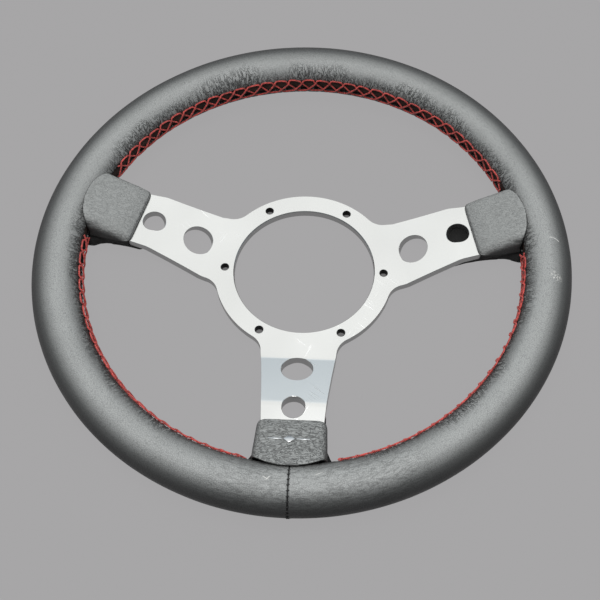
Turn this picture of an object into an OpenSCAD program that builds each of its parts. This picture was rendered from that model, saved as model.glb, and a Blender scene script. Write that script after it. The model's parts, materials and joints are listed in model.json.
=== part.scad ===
// Three-spoke steering wheel: a bent spoke plate, a padded and laced rim,
// and a moulded cover over each spoke end.
// The origin is the centre of the bolt circle, on the back face of the hub.

/* [Rim] */
// Outside diameter of the rim, over its leather
rim_d = 330; // [310:1:380]
// Thickness of the grip, over its leather
grip_d = 30; // [28:0.5:34]
// Thickness of the leather
leather_t = 1.4; // [1:0.1:2]
// Outside diameter of the hoop's tube
hoop_d = 16; // [12:0.5:18]
// Wall of the hoop's tube
hoop_wall = 2; // [1:0.25:3]

/* [Hub] */
// Diameter of the ring round the hub hole
hub_ring_d = 112; // [108:1:120]
// Diameter of the hub hole
hub_hole_d = 88; // [70:1:90]
// Diameter of the bolt circle
bolt_circle_d = 100; // [98:0.5:104]
// Diameter of a bolt hole
bolt_hole_d = 5.2; // [4:0.1:6]
// Number of bolt holes
bolt_count = 6; // [3:1:9]
// Bevel on the front edge of the hub hole
hub_bevel = 1; // [0.5:0.1:2]

/* [Spokes] */
// Thickness of the spoke plate
plate_t = 5; // [3:0.25:6]
// Angle of the side spokes above the horizontal
side_rise = 14; // [0:1:25]
// Height of the spoke ends above the hub
dish = 13; // [5:0.5:25]
// Flat of a spoke, from its root's fillet to the lower bend
root_flat = 3.75; // [3:0.25:7]
// Share of a spoke, from the lower bend to the rim, that slopes
slope_share = 0.48; // [0.36:0.01:0.5]
// Radius of the bends, at the middle of the plate
bend_r = 8; // [4:0.5:12]
// Half of a spoke's width at its root
root_w = 23; // [20:0.5:25]
// Half of a spoke's width at its end
end_w = 17.4; // [16:0.2:19]
// Radius of the fillet between a spoke and the ring
fillet_r = 12; // [8:0.5:14]
// Diameter of a spoke's large hole
big_hole_d = 19; // [8:0.5:22]
// Place of the large hole up the slope, as a share of the slope
big_hole_share = 0.257; // [0.25:0.001:0.4]
// Diameter of a spoke's small hole
small_hole_d = 13.5; // [6:0.5:15]
// Distance from the upper bend to the middle of the small hole
small_hole_out = 2; // [0:0.5:4]
// Bevel on the front edge of a spoke's holes
hole_bevel = 0.8; // [0.3:0.1:1.2]
// Height of the rim's middle above the front of the spoke ends
rim_rise = 3; // [2:0.25:5]

/* [Tabs and rivets] */
// Thickness of a tab
tab_t = 3; // [2:0.25:4]
// Width of a tab
tab_w = 30; // [28:0.5:32]
// Distance between the two rivets of a spoke
rivet_gap = 18; // [14:0.5:20]
// Diameter of a rivet's shank
rivet_d = 5; // [3:0.25:6]
// Diameter of a rivet's head
rivet_head_d = 9; // [7:0.25:10]
// Height of a rivet's head
rivet_head_h = 2; // [1:0.25:2.5]

/* [Covers] */
// Length of a cover from its front lip to the inside of the rim
cover_len = 27.5; // [24:0.5:32]
// How far the flap behind the spoke reaches past the front lip
flap_len = 7.5; // [3:0.5:10]
// The same for the right cover, whose flap closes the small hole
flap_right_len = 17; // [12:0.5:18]
// Radius of the lip's and the flap's corners
cover_corner = 3.6; // [2:0.2:6]
// Half of a cover's width at its front lip
cover_lip_w = 20; // [20:0.25:21]
// Half of a cover's width where it meets the rim
cover_rim_w = 21.5; // [21.5:0.25:24]
// Half of the width of a cover's ears, behind the rim
ear_w = 28; // [25:0.5:30]
// Height of the front lip above the spoke plate
lip_h = 4; // [3:0.25:6]
// Thickness of a cover's wall
cover_wall = 2; // [1.5:0.1:2.5]
// How far the tongue reaches over the rim
tongue_reach = 5; // [3:0.25:8]
// Radius of the tongue's end, seen from the front
tongue_r = 39; // [34:1:60]

/* [Lacing and seam] */
// Diameter of the lacing thread
lace_d = 1.1; // [0.8:0.1:1.3]
// Length of one lacing loop along the rim
lace_pitch = 9.35; // [8:0.05:11]
// Distance between the two rows of lacing
lace_gap = 8.9; // [8:0.1:11]
// Height of the lacing's middle above the rim's middle
lace_rise = 0.8; // [0:0.1:1.5]
// Width of the seam across the grip
seam_gap = 0.8; // [0.4:0.1:1.5]
// Depth of the seam
seam_depth = 0.6; // [0.3:0.1:0.8]
// Length of a stitch over the seam
stitch_len = 1.7; // [1.2:0.1:5]
// Diameter of the stitching thread
stitch_d = 0.7; // [0.5:0.05:1]

/* [Hidden] */

// Clearances: a cut past a face, a free fit, a close fit, a thread off its bed,
// and the plate's end off the rim
cut = 1;
fit_gap = 0.3;
close_gap = 0.1;
thread_gap = 0.05;
end_gap = 1.5;

// Circles are fine enough to look round
$fn = 96;
ring_fn = 240;

// Angles of the spokes round the wheel
right_a = side_rise;
left_a = 180 - side_rise;
lower_a = -90;
seam_off = 0.4;
seam_a = lower_a + seam_off;

// The rim: middle of its section, and the inside of the grip
grip_r = grip_d / 2;
hoop_r = hoop_d / 2;
rim_r = rim_d / 2 - grip_r;
rim_in = rim_r - grip_r;
plate_front = dish + plate_t;
rim_z = plate_front + rim_rise;
pad_r = grip_r - leather_t;

// The spoke plate
plate_end = rim_in - end_gap;
root_step = 0.03;
fillet_v = root_w + fillet_r + root_step;
fillet_s = sqrt(pow(hub_ring_d / 2 + fillet_r - root_step, 2) - fillet_v * fillet_v);
bend_low_s = fillet_s + root_flat;
bend_high_s = bend_low_s + slope_share * (rim_in - bend_low_s);
bend_a = atan2(dish, bend_high_s - bend_low_s);
big_hole_s = bend_low_s + big_hole_share * (bend_high_s - bend_low_s);
small_hole_s = bend_high_s + small_hole_out;
taper_power = 1.7;

// The covers
lip_s = rim_in - cover_len;
cover_end = rim_in + tongue_reach + cover_wall;
tongue_s = rim_in + tongue_reach - tongue_r;
tongue_t = 2.3;
apex_z = sqrt(grip_r * grip_r - pow(grip_r - tongue_reach, 2)) + tongue_t;
lip_z = lip_h - rim_rise;
flap_t = rivet_head_h + 1;
flap_z = -rim_rise - plate_t - flap_t;
belly_drop = 1.5;
belly_z = flap_z - belly_drop;
ear_in = 0.5;
ear_z = -grip_r + ear_in;
ear_from = rim_in - 16;
ear_run = 15;
edge_r = 5;
foot_r = 2.2;
foot_in = 0.8;
least_r = 0.6;
mouth_wall = cover_wall + 1.5;
tongue_from = rim_in - 12;
tongue_full = rim_in - 6;
cutout_s = small_hole_s + 1.2;
cutout_d = small_hole_d + 3.5;
side_hi = -4.6;
side_lo = -7.6;

// The rivets and tabs
rivet_in = 12.5;
rivet_s = lip_s + rivet_in;
tab_lap = 7;
tab_s = rivet_s - tab_lap;
tab_bite = 1.2;
tab_end = rim_r - hoop_r + tab_bite;
tab_corner = 4;

// The lacing: angles on the grip's section, seen from the middle of the tube
lace_r = grip_r + lace_d / 2 + thread_gap;
lace_mid = asin(lace_rise / grip_r);
lace_half = lace_gap / 2 / grip_r * 180 / PI;
lace_step = lace_pitch / rim_in * 180 / PI;
lace_lift = lace_d / 2;
cross_at = 5 / 9;
leather_edge = lace_half + 0.3;
lace_sides = 5;

// Height of the plate's middle: flat, sloped between the bends, flat again
function spoke_mid(s) =
    s < bend_low_s ? 0 :
    s < bend_high_s ? dish * (s - bend_low_s) / (bend_high_s - bend_low_s) : dish;

// Half of a spoke's width at a distance from the centre
function spoke_w(s) =
    let (u = min(1, max(0, (s - fillet_s) / (plate_end - fillet_s))))
    end_w + (root_w - end_w) * pow(1 - u, taper_power);

function blend(a, b, t) = a + (b - a) * min(1, max(0, t));
function smooth(t) = let (c = min(1, max(0, t))) c * c * (3 - 2 * c);

// Points of a bend's outline at a distance off the plate's middle.
// The first bend turns up and the second turns back.
bend_steps = 6;
bend_tan = bend_r * tan(bend_a / 2);
function bend_line(off) = concat(
    [for (i = [1 : bend_steps])
        let (a = bend_a * i / bend_steps)
        [bend_low_s - bend_tan + (bend_r - off) * sin(a),
         plate_t / 2 + bend_r - (bend_r - off) * cos(a)]],
    [for (i = [0 : bend_steps])
        let (a = bend_a * (1 - i / bend_steps))
        [bend_high_s + bend_tan - (bend_r + off) * sin(a),
         plate_t / 2 + dish - bend_r + (bend_r + off) * cos(a)]]);

function reversed(list) = [for (i = [len(list) - 1 : -1 : 0]) list[i]];

// The spoke starts inside the hub, a small step under its faces, and the hub
// ends before the first bend
start_s = hub_ring_d / 2;
root_s = (fillet_s + bend_low_s - bend_tan) / 2;

// Side view of a spoke
function spoke_side() = concat(
    [[start_s, root_step], [root_s + fit_gap, root_step]],
    bend_line(-plate_t / 2), [[plate_end, dish], [plate_end, plate_front]],
    reversed(bend_line(plate_t / 2)),
    [[root_s + fit_gap, plate_t - root_step], [start_s, plate_t - root_step]]);

// Front view of a spoke, widened by a gap and lengthened past its end
taper_steps = 12;
function spoke_front(gap = 0, far = 0) =
    let (side = [for (i = [0 : taper_steps])
                     let (s = start_s + (plate_end - start_s) * i / taper_steps)
                     [s + (i == taper_steps ? far : 0), spoke_w(s) + gap]])
    concat(side, reversed([for (p = side) [p[0], -p[1]]]));

// A round hole with a bevelled front edge, its mouth at the origin
module bevelled_hole(d, depth, bevel) {
    translate([0, 0, -depth]) cylinder(h = depth + cut, d = d);
    translate([0, 0, -bevel]) cylinder(h = bevel + cut, d1 = d, d2 = d + 2 * (bevel + cut));
}

module spoke() {
    intersection() {
        rotate([90, 0, 0]) linear_extrude(4 * root_w, center = true) polygon(spoke_side());
        translate([0, 0, -cut]) linear_extrude(plate_front + 2 * cut) polygon(spoke_front());
    }
}

// One side of a spoke's root, a small step wider than the spoke, before the
// fillet's round is cut from it
function root_line() =
    let (ring_a = atan2(fillet_v, fillet_s), core_s = hub_hole_d / 4)
    [[core_s, core_s / 2], hub_ring_d / 2 * [cos(ring_a), sin(ring_a)],
     [fillet_s, fillet_v], [fillet_s, root_w + 2 * root_step],
     [root_s, spoke_w(root_s) + 2 * root_step]];

// The flat hub: the ring, the three roots and the fillets between them
module hub_outline() {
    spokes = [right_a, left_a, lower_a];
    difference() {
        union() {
            circle(d = hub_ring_d, $fn = ring_fn);
            for (a = spokes) rotate(a)
                polygon(concat(root_line(), reversed([for (p = root_line()) [p[0], -p[1]]])));
        }
        for (a = spokes) for (side = [-1, 1]) rotate(a)
            translate([fillet_s, side * fillet_v]) circle(fillet_r);
    }
}

// What is drilled in a spoke: the large hole square to the slope
module spoke_holes() {
    big_z = plate_t / 2 + spoke_mid(big_hole_s);
    translate([big_hole_s, 0, big_z]) rotate([0, -bend_a, 0]) translate([0, 0, plate_t / 2])
        bevelled_hole(big_hole_d, 2 * plate_t, hole_bevel);
    translate([small_hole_s, 0, plate_front]) bevelled_hole(small_hole_d, 3 * plate_t, hole_bevel);
    for (side = [-1, 1]) translate([rivet_s, side * rivet_gap / 2, dish - cut])
        cylinder(h = plate_t + 2 * cut, d = rivet_d + 2 * close_gap);
}

module spoke_plate() {
    color("gainsboro") difference() {
        union() {
            linear_extrude(plate_t) hub_outline();
            for (a = [right_a, left_a, lower_a]) rotate([0, 0, a]) spoke();
        }
        translate([0, 0, plate_t]) bevelled_hole(hub_hole_d, plate_t + cut, hub_bevel, $fn = ring_fn);
        for (i = [0 : bolt_count - 1]) rotate([0, 0, 360 * i / bolt_count])
            translate([bolt_circle_d / 2, 0, -cut]) cylinder(h = plate_t + 2 * cut, d = bolt_hole_d);
        for (a = [right_a, left_a, lower_a]) rotate([0, 0, a]) spoke_holes();
    }
}

// A ring of round section about the rim's middle line
module rim_ring(r) {
    translate([0, 0, rim_z]) rotate_extrude($fn = ring_fn) translate([rim_r, 0]) circle(r);
}

module rim_hoop() {
    color("dimgray") translate([0, 0, rim_z]) rotate_extrude($fn = ring_fn) translate([rim_r, 0])
        difference() {
            circle(hoop_r);
            circle(hoop_r - hoop_wall);
        }
}

// The slot that a tab passes through
module tab_slot() {
    translate([rim_in - cut, -tab_w / 2 - fit_gap, plate_front - fit_gap])
        cube([tab_end - rim_in + 2 * cut, tab_w + 2 * fit_gap, tab_t + 2 * fit_gap]);
}

module rim_padding() {
    color("black") difference() {
        translate([0, 0, rim_z]) rotate_extrude($fn = ring_fn) translate([rim_r, 0])
            difference() {
                circle(pad_r - close_gap);
                circle(hoop_r + close_gap);
            }
        for (a = [right_a, left_a, lower_a]) rotate([0, 0, a]) tab_slot();
    }
}

// The leather's section: open on the inside of the rim, with turned edges
module leather_section() {
    mid_a = 180 - lace_mid;
    wedge = 2 * grip_r;
    edge_less = 0.02;
    difference() {
        circle(grip_r);
        circle(pad_r);
        polygon([[0, 0],
                 wedge * [cos(mid_a - leather_edge), sin(mid_a - leather_edge)],
                 wedge * [cos(mid_a + leather_edge), sin(mid_a + leather_edge)]]);
    }
    for (side = [-1, 1]) rotate(mid_a + side * leather_edge)
        translate([grip_r - leather_t / 2, 0]) circle((leather_t - edge_less) / 2, $fn = 32);
}

module leather_wrap() {
    seam_step = seam_gap / (rim_d / 2) * 180 / PI;
    color([0.2, 0.2, 0.2]) difference() {
        translate([0, 0, rim_z]) rotate_extrude($fn = ring_fn) translate([rim_r, 0]) leather_section();
        for (a = [right_a, left_a, lower_a]) rotate([0, 0, a]) tab_slot();
        translate([0, 0, rim_z]) rotate([0, 0, seam_a - seam_step / 2])
            rotate_extrude(angle = seam_step, $fn = ring_fn) translate([rim_r, 0]) difference() {
                circle(grip_r + cut);
                circle(grip_r - seam_depth);
            }
    }
}

// A tab: a flat strip from under the rivets to the hoop, which its end fits
module tab() {
    reach = tab_end - tab_s;
    color("dimgray") difference() {
        translate([0, 0, plate_front]) {
            translate([tab_s, -tab_w / 2 + tab_corner, 0])
                cube([reach, tab_w - 2 * tab_corner, tab_t]);
            translate([tab_s + tab_corner, -tab_w / 2, 0]) cube([reach - tab_corner, tab_w, tab_t]);
            for (side = [-1, 1])
                translate([tab_s + tab_corner, side * (tab_w / 2 - tab_corner), 0])
                    cylinder(h = tab_t, r = tab_corner);
        }
        rim_ring(hoop_r + close_gap);
        for (side = [-1, 1]) translate([rivet_s, side * rivet_gap / 2, plate_front - cut])
            cylinder(h = tab_t + 2 * cut, d = rivet_d + 2 * close_gap);
    }
}

// Half of a rivet's outline: a shank between two domed heads
module rivet_half() {
    grip = plate_t + tab_t;
    head_r = rivet_head_d / 2;
    dome_r = (head_r * head_r + rivet_head_h * rivet_head_h) / (2 * rivet_head_h);
    square([rivet_d / 2, grip]);
    for (end = [0, 1]) translate([0, end * grip]) mirror([0, 1 - end])
        intersection() {
            translate([0, rivet_head_h - dome_r]) circle(dome_r);
            square([head_r, rivet_head_h]);
        }
}

module rivet(side) {
    color("silver") translate([rivet_s, side * rivet_gap / 2, dish])
        rotate_extrude() rivet_half();
}

// Heights and widths of a cover along its spoke, measured from the rim's middle
function cover_top(s) = blend(lip_z, apex_z, (s - lip_s) / (rim_in + tongue_reach - lip_s));
function cover_bottom(s) =
    min(0, spoke_mid(s) - dish) + blend(flap_z, s < rivet_s ? belly_z : ear_z,
          s < rivet_s ? smooth((s - lip_s) / (rivet_s - lip_s))
                      : 0.5 + 0.5 * smooth((s - rivet_s) / (rim_in - rivet_s)));
function cover_w(s) = blend(cover_lip_w, cover_rim_w, (s - lip_s) / cover_len);
function cover_low_w(s) = blend(cover_lip_w - foot_in, ear_w, smooth((s - ear_from) / ear_run));

// Half of a cover's cross-section at s, from the front middle to the back
arc_steps = 4;
function cover_half(s, inset) =
    let (top = cover_top(s) - inset, w = cover_w(s) - inset,
         low = min(cover_low_w(s), inset > 0 ? cover_w(s) : ear_w) - inset,
         bottom = cover_bottom(s) + inset, r = max(least_r, edge_r - inset),
         f = max(least_r, foot_r - inset), foot = min(side_lo - least_r / 2, bottom + f))
    concat([for (i = [0 : arc_steps])
                let (a = 90 - 90 * i / arc_steps)
                [w - r + r * cos(a), top - r + r * sin(a)]],
           [[w, side_hi], [low, side_lo]],
           [for (i = [0 : arc_steps])
                let (a = -90 * i / arc_steps)
                [low - f + f * cos(a), foot + (foot - bottom) * sin(a)]]);
function cover_ring(s, inset) =
    let (half = cover_half(s, inset))
    [for (p = concat(half, reversed([for (q = half) [-q[0], q[1]]]))) [s, p[0], p[1]]];

// A closed solid through a row of rings with equally many points each
module loft(rings) {
    n = len(rings[0]);
    last = len(rings) - 1;
    polyhedron(
        points = [for (ring = rings) for (p = ring) p],
        faces = concat(
            [[for (j = [n - 1 : -1 : 0]) j]],
            [for (i = [0 : last - 1]) for (j = [0 : n - 1])
                let (k = (j + 1) % n)
                each [[i * n + j, (i + 1) * n + k, (i + 1) * n + j],
                      [i * n + j, i * n + k, (i + 1) * n + k]]],
            [[for (j = [0 : n - 1]) last * n + j]]));
}

cover_steps = 12;
function cover_rings(from, to, inset) =
    [for (i = [0 : cover_steps]) cover_ring(from + (to - from) * i / cover_steps, inset)];

// The two corners of an edge that faces the hub, outside their round
module corner_cut(edge_s, half_w, low, high) {
    for (side = [0, 1]) mirror([0, side, 0]) difference() {
        translate([edge_s - cut, half_w - cover_corner, low])
            cube([cover_corner + cut, cover_corner + cut, high - low]);
        translate([edge_s + cover_corner, half_w - cover_corner, low - cut])
            cylinder(h = high - low + 2 * cut, r = cover_corner);
    }
}

// The space in front of the plate's sloped back, up to the end of the slope
module slope_trim() {
    line = bend_line(-plate_t / 2 - fit_gap);
    last = len(line) - 2;
    rotate([90, 0, 0]) linear_extrude(4 * root_w, center = true)
        polygon(concat([for (i = [0 : last]) line[i]], [[line[last][0], 2 * rim_z], [root_s, 2 * rim_z]]));
}

// What is cut from a cover: the space in front of its flap, the lip's corners,
// and the rim's front past the round end of the tongue
module cover_trim(flap_from) {
    side_w = ear_w + cut;
    flap_top = -rim_rise - plate_t - fit_gap;
    front = 2 * grip_r;
    translate([flap_from - cut, -side_w, flap_top]) cube([lip_s - flap_from + cut, 2 * side_w, front]);
    corner_cut(lip_s, cover_lip_w, flap_top, front);
    corner_cut(flap_from, cover_lip_w - foot_in, -2 * grip_r, flap_top);
    difference() {
        translate([tongue_from, -side_w, side_hi]) cube([cover_end + cut - tongue_from, 2 * side_w, front]);
        translate([tongue_s, 0, side_hi - cut])
            cylinder(h = front + 2 * cut, r = tongue_r, $fn = ring_fn);
        translate([tongue_from - cut, -side_w, side_hi - cut])
            cube([tongue_full - tongue_from, 2 * side_w, front + 2 * cut]);
    }
}

// A cover's flap either leaves the spoke's small hole open or closes it
module cover(flap, open_hole) {
    flap_from = lip_s - flap;
    color([0.14, 0.14, 0.14]) difference() {
        translate([0, 0, rim_z]) difference() {
            loft(cover_rings(flap_from, cover_end, 0));
            loft(cover_rings(lip_s + mouth_wall, cover_end + cut, cover_wall));
            cover_trim(flap_from);
        }
        rim_ring(grip_r + 2 * close_gap);
        translate([0, 0, dish - fit_gap]) linear_extrude(plate_t + 2 * fit_gap)
            polygon(spoke_front(fit_gap, cut));
        if (flap_from < bend_high_s + bend_tan) slope_trim();
        if (open_hole) translate([cutout_s, 0, 0]) cylinder(h = plate_front, d = cutout_d);
    }
}

// Place on the rim: x in loops along it, y from -1 to 1 across the lacing
function lace_point(from, x, y, lift) =
    let (a = from + x * lace_step,
         s = 180 - lace_mid - y * lace_half,
         r = lace_r + lift,
         d = rim_r + r * cos(s))
    [d * cos(a), d * sin(a), rim_z + r * sin(s)];

// One thread repeats every three loops: a bar on the front row, a run down over
// the others, a bar on the back row, and a run back up under the others
lace_cycle = 3;
lace_run = [[-0.3, 1, 0], [0.3, 1, 0], [0.5, cross_at, 1], [1, -cross_at, 1],
            [1.2, -1, 0], [1.8, -1, 0], [2, -cross_at, -1], [2.5, cross_at, -1]];
function lace_line(from, loops, phase) =
    [for (k = [-lace_cycle : lace_cycle : loops + lace_cycle]) for (p = lace_run)
        let (x = k + phase + p[0])
        if (x >= 0 && x <= loops) lace_point(from, x, p[1], p[2] * lace_lift)];

function unit(v) = v / norm(v);

// A round tube along a line of points on the rim
function tube_ring(line, i, r) =
    let (p = line[i],
         t = unit(line[min(len(line) - 1, i + 1)] - line[max(0, i - 1)]),
         out = unit(p - rim_r * unit([p[0], p[1], 0]) - [0, 0, rim_z]),
         side = unit(cross(t, out)),
         up = cross(side, t))
    [for (j = [0 : lace_sides - 1])
        let (a = 90 + 360 * j / lace_sides)
        p + r * (cos(a) * side + sin(a) * up)];

module lacing(from, to) {
    loops = floor((to - from) / lace_step);
    start = (from + to - loops * lace_step) / 2;
    color("firebrick") for (phase = [0 : lace_cycle - 1]) {
        line = lace_line(start, loops, phase);
        loft([for (i = [0 : len(line) - 1]) tube_ring(line, i, lace_d / 2)]);
    }
}

// Places of the stitches on the grip's section
stitch_from_a = -108;
stitch_to_a = 120;
stitch_step_a = 12;

// Half of the angle that a cover takes of the lacing
lace_stop = atan2(cover_rim_w + lace_d, rim_in);

module seam_thread() {
    thread_r = grip_r + stitch_d / 2 + thread_gap;
    turn = stitch_len / (rim_d / 2) * 180 / PI;
    color("black") translate([0, 0, rim_z]) rotate([0, 0, seam_a - turn / 2])
        for (s = [stitch_from_a : stitch_step_a : stitch_to_a])
            rotate_extrude(angle = turn, $fn = ring_fn)
                translate([rim_r + thread_r * cos(s), thread_r * sin(s)]) circle(d = stitch_d, $fn = 24);
}

spoke_plate();
rim_hoop();
rim_padding();
leather_wrap();
rotate([0, 0, right_a]) tab();  // tab_right
rotate([0, 0, left_a]) tab();  // tab_left
rotate([0, 0, lower_a]) tab();  // tab_lower
rotate([0, 0, right_a]) rivet(-1);  // rivet_right_a
rotate([0, 0, right_a]) rivet(1);  // rivet_right_b
rotate([0, 0, left_a]) rivet(-1);  // rivet_left_a
rotate([0, 0, left_a]) rivet(1);  // rivet_left_b
rotate([0, 0, lower_a]) rivet(-1);  // rivet_lower_a
rotate([0, 0, lower_a]) rivet(1);  // rivet_lower_b
lacing(right_a + lace_stop, left_a - lace_stop);  // lacing_upper
lacing(left_a + lace_stop, 360 + lower_a - lace_stop);  // lacing_left
lacing(lower_a + lace_stop, right_a - lace_stop);  // lacing_right
seam_thread();
rotate([0, 0, right_a]) cover(flap_right_len, false);  // cover_right
rotate([0, 0, left_a]) cover(flap_len, true);  // cover_left
rotate([0, 0, lower_a]) cover(flap_len, true);  // cover_lower
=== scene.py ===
import json
import random
from math import asin, atan2, copysign, cos, exp, hypot, inf, pi, radians, sin, sqrt, tan, tau

import bmesh
import bpy
from bpy.props import FloatProperty, FloatVectorProperty, IntProperty, PointerProperty
from mathutils import Matrix, Vector, noise

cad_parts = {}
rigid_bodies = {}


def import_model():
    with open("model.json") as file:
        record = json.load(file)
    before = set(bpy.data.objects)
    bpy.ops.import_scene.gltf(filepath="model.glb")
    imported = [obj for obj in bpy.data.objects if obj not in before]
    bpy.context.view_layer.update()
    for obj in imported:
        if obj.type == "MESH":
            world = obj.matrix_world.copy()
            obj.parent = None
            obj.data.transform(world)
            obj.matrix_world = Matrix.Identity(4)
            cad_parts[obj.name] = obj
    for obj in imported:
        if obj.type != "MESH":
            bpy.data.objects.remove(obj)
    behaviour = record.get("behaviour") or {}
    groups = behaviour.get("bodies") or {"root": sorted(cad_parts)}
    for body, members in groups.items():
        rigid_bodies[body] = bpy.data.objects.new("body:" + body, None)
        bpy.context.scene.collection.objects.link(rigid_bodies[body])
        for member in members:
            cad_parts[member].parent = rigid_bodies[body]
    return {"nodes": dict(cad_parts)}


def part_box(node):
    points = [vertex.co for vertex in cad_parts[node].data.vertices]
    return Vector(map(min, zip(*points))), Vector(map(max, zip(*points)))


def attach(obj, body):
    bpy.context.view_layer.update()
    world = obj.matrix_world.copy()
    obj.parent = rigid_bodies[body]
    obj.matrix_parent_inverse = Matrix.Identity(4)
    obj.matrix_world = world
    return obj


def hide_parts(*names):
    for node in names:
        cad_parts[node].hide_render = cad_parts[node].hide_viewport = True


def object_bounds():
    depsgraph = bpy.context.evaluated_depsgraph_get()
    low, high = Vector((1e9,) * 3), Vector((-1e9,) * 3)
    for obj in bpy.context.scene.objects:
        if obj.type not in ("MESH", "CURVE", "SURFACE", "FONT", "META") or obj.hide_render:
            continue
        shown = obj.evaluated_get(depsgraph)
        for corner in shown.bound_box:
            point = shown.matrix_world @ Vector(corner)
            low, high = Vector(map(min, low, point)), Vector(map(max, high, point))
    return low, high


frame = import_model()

bl_info = {
    "name": "Laced steering wheel",
    "version": (1, 0, 0),
    "blender": (4, 5, 0),
    "location": "3D View > Sidebar > Wheel",
    "description": "Dresses the steering wheel in leather, lacing, moulded covers and bare metal",
    "category": "Object",
}

CAD_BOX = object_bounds()
MM = 0.001
# Vertices this close are one, and a vertex this close to a cut lies on it
SAME, ON_CUT = 0.002 * MM, 0.0001 * MM

# The rim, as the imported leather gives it
LEATHER_LOW, LEATHER_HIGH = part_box("leather_wrap")
GRIP_R = (LEATHER_HIGH.z - LEATHER_LOW.z) / 2
RIM_Z = (LEATHER_HIGH.z + LEATHER_LOW.z) / 2
RIM_R = (LEATHER_HIGH.x - LEATHER_LOW.x) / 2 - GRIP_R
RIM_IN = RIM_R - GRIP_R

# Where the spokes and the seam lie round the wheel
SPOKES = {"right": radians(14.0), "left": radians(166.0), "lower": radians(-90.0)}
SEAM = radians(-89.6)

# The spoke plate, in metres: its hub, its spokes from root to end, its holes
PLATE_T, DISH, PLATE_END = 5 * MM, 13 * MM, 133.5 * MM
HUB_R, HUB_HOLE_R, BOLT_R = 56 * MM, 44 * MM, 50 * MM
ROOT_W, END_W, FILLET_R = 23 * MM, 17.4 * MM, 12 * MM
BIG_S, BIG_R, SMALL_S, SMALL_R = 71 * MM, 9.5 * MM, 99 * MM, 6.75 * MM
RIVET_S, RIVET_V = 120 * MM, 9 * MM
BOLT_HOLE_R, RIVET_HOLE_R = 2.6 * MM, 2.6 * MM
HUB_BEVEL, HOLE_BEVEL = 0.5 * MM, 0.2 * MM

# Its two bends: radius, slope, where the first starts and the second ends
SLOPE_FROM, SLOPE_TO = 62 * MM, 97 * MM
BEND_R, BEND_A = 8 * MM, atan2(DISH, SLOPE_TO - SLOPE_FROM)
BEND_FROM = SLOPE_FROM - BEND_R * tan(BEND_A / 2)
BEND_TO = SLOPE_TO + BEND_R * tan(BEND_A / 2)
BEND_RUN, BEND_CUTS = BEND_R * sin(BEND_A), 7

# One thread's course: loops along the rim, place across the lacing, lift
CROSS = 5 / 9
LACE_RUN = ((-0.3, 1, 0), (0.3, 1, 0), (0.5, CROSS, 1), (1, -CROSS, 1),
            (1.2, -1, 0), (1.8, -1, 0), (2, -CROSS, -1), (2.5, CROSS, -1))
LACE_CYCLE = 3
# Where the lacing stops beside a spoke, how deep it is pulled in, the spacing of its points
LACE_STOP, LACE_PULL, LACE_STEP = 20 * MM, 0.22 * MM, 0.42 * MM
# Its plies: how many, and their radius and their distance from the middle for a thread 1 thick
PLIES, PLY_R, PLY_OUT = 3, 0.25, 0.285

# One stitch over the seam: place across it from -1 to 1, lift in diameters of its thread
STITCH_RUN = ((-1, -0.6), (-0.8, -0.1), (-0.35, -0.1), (0, -0.3), (0.35, -0.1), (0.8, -0.1), (1, -0.6))
STITCH_HALF, STITCH_SKEW, STITCH_ANGLES = 0.8 * MM, 0.012, range(-108, 121, 12)
STITCH_PULL, STITCH_STEP = 0.1 * MM, 0.12 * MM

# The steps of the leather's section: round its outside, its inside and its turned edges
OUTER_STEPS, INNER_STEPS, TURN_STEPS = 58, 12, 5
# Where extra rows cross the seam, in mm
SEAM_ROWS = (-1.3, -0.85, -0.5, -0.25, 0, 0.25, 0.5, 0.85, 1.3)

# How light the rim's leather is painted, for its wear and as painted highlight, by its distance in mm from
# the lacing's middle over the front
WEAR_AND_HIGHLIGHT = ((0, 0.0), (5, 0.16), (7.5, 0.41), (11, 0.63), (15, 0.95), (19, 1.05), (22.5, 0.98),
        (26.5, 0.66), (30.5, 0.27), (34.5, 0.11), (39, 0.02), (48, 0.01))

# Light scratches on the rim, in mm: along the rim from the seam, across from the lacing's middle,
# half its length, half its width; and its turn
SCRATCHES = ((246.5, -23.8, 1.6, 0.35, -1.68), (245.7, -26.2, 1.9, 0.35, -2.07),
             (244.4, -28.0, 1.4, 0.35, -2.42), (-12.4, -21.3, 2.6, 0.3, -0.42),
             (-11.2, -21.3, 2.2, 0.3, 0.90), (16.5, -18.2, 3.4, 0.2, 0.34))
# A speckled patch, in the same way
CHAFED = (219.5, -25.8, 5.5, 3.2, 0.9)

# The skins of the covers: how light their faces are painted, how their wrinkles turn, how deep they are
COVER_SKINS = {"cover_skin": (1.2, 0.45, 0.5), "cover_skin_lower": (0.92, 0.2, 1.0)}
# Each cover: its skin, the depth of its waves, how far its walls lean in and its tongue reaches out
COVERS = {"right": ("cover_skin", 0.05 * MM, 1.5 * MM, 0.6 * MM),
          "left": ("cover_skin", 0.05 * MM, 1.5 * MM, 1.6 * MM),
          "lower": ("cover_skin_lower", 0.16 * MM, 0.3 * MM, 0.6 * MM)}
# The metal's front face under the covers, the height where their fronts begin, their tongues' start
METAL_Z, FRONT_Z, TONGUE_S = 18 * MM, 20 * MM, 120 * MM
# How far a cover's face falls at its sides, its lip thins, and its walls behind are drawn in
FACE_FALL, LIP_THIN, WALL_IN = 1.1 * MM, 1.6 * MM, 4.5 * MM

# The divider on the lower cover: the diamond, the bars, its thickness and its seat
DIAMOND_R, DIAMOND_STRETCH, BAR, BAR_X = 2.7 * MM, 1.25, (7.6 * MM, 0.85 * MM, 1.0), 7.9 * MM
DIVIDER_T, DIVIDER_BEVEL = 0.5 * MM, 0.15 * MM
DIVIDER_SLOPE, DIVIDER_SEAT = atan2(12.48, 32.5), (-0.56 * MM, -122.4 * MM, 27.66 * MM)

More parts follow.
